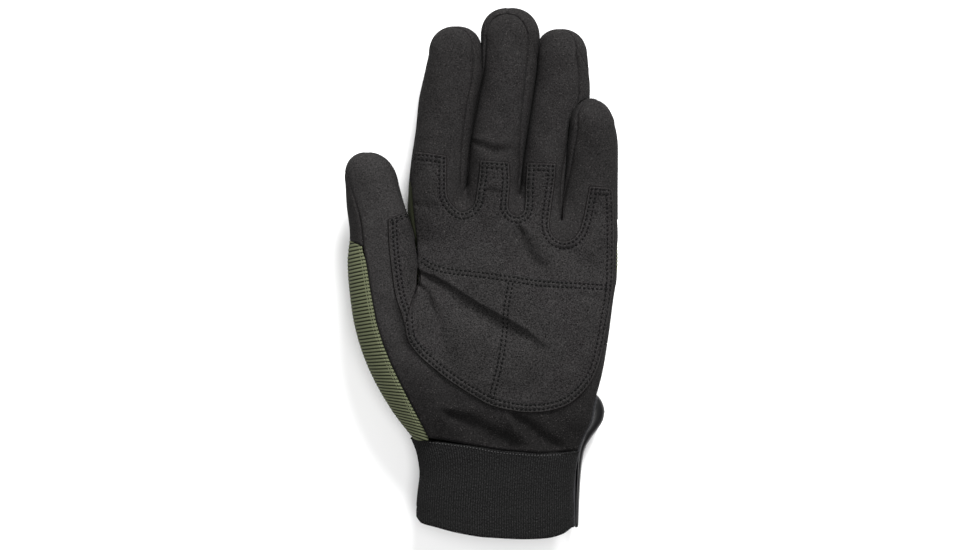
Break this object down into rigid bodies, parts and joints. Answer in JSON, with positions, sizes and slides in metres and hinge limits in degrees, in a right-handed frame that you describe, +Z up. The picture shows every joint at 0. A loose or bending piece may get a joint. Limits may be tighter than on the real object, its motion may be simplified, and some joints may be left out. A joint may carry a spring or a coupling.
{
  "type": "tactical glove",
  "caption": "Left-hand tactical work glove lying palm up, with a second palm layer, ribbed stretch back, elastic cuff and moulded closure tab.",
  "frame": {"origin": "on the floor under the middle of the glove, which lies palm up on the back of the hand", "axes": "+Z up out of the palm, +Y to the fingertips, +X to the little finger"},
  "size_m": [0.1251, 0.244, 0.0404],
  "materials": {
    "suede": "matt synthetic suede with a fine nap",
    "layer_suede": "matt synthetic suede, a little lighter",
    "stretch_cloth": "ribbed stretch cloth",
    "cuff_elastic": "fine ribbed elastic",
    "webbing": "woven webbing",
    "moulded_rubber": "satin moulded rubber"
  },
  "bodies": {
    "root": {"palm_panel": "suede", "thumb_heel_panel": "suede", "fourchette_index_middle": "suede", "fourchette_middle_ring": "suede", "fourchette_ring_little": "suede", "index_finger_back": "suede", "middle_finger_back": "suede", "ring_finger_back": "suede", "little_finger_back": "suede", "thumb_back": "suede", "palm_overlay": "layer_suede", "thumb_overlay": "layer_suede", "back_panel": "stretch_cloth", "cuff_band": "cuff_elastic", "cuff_binding": "webbing", "closure_strap": "webbing", "pull_tab": "moulded_rubber"}
  },
  "joints": []
}
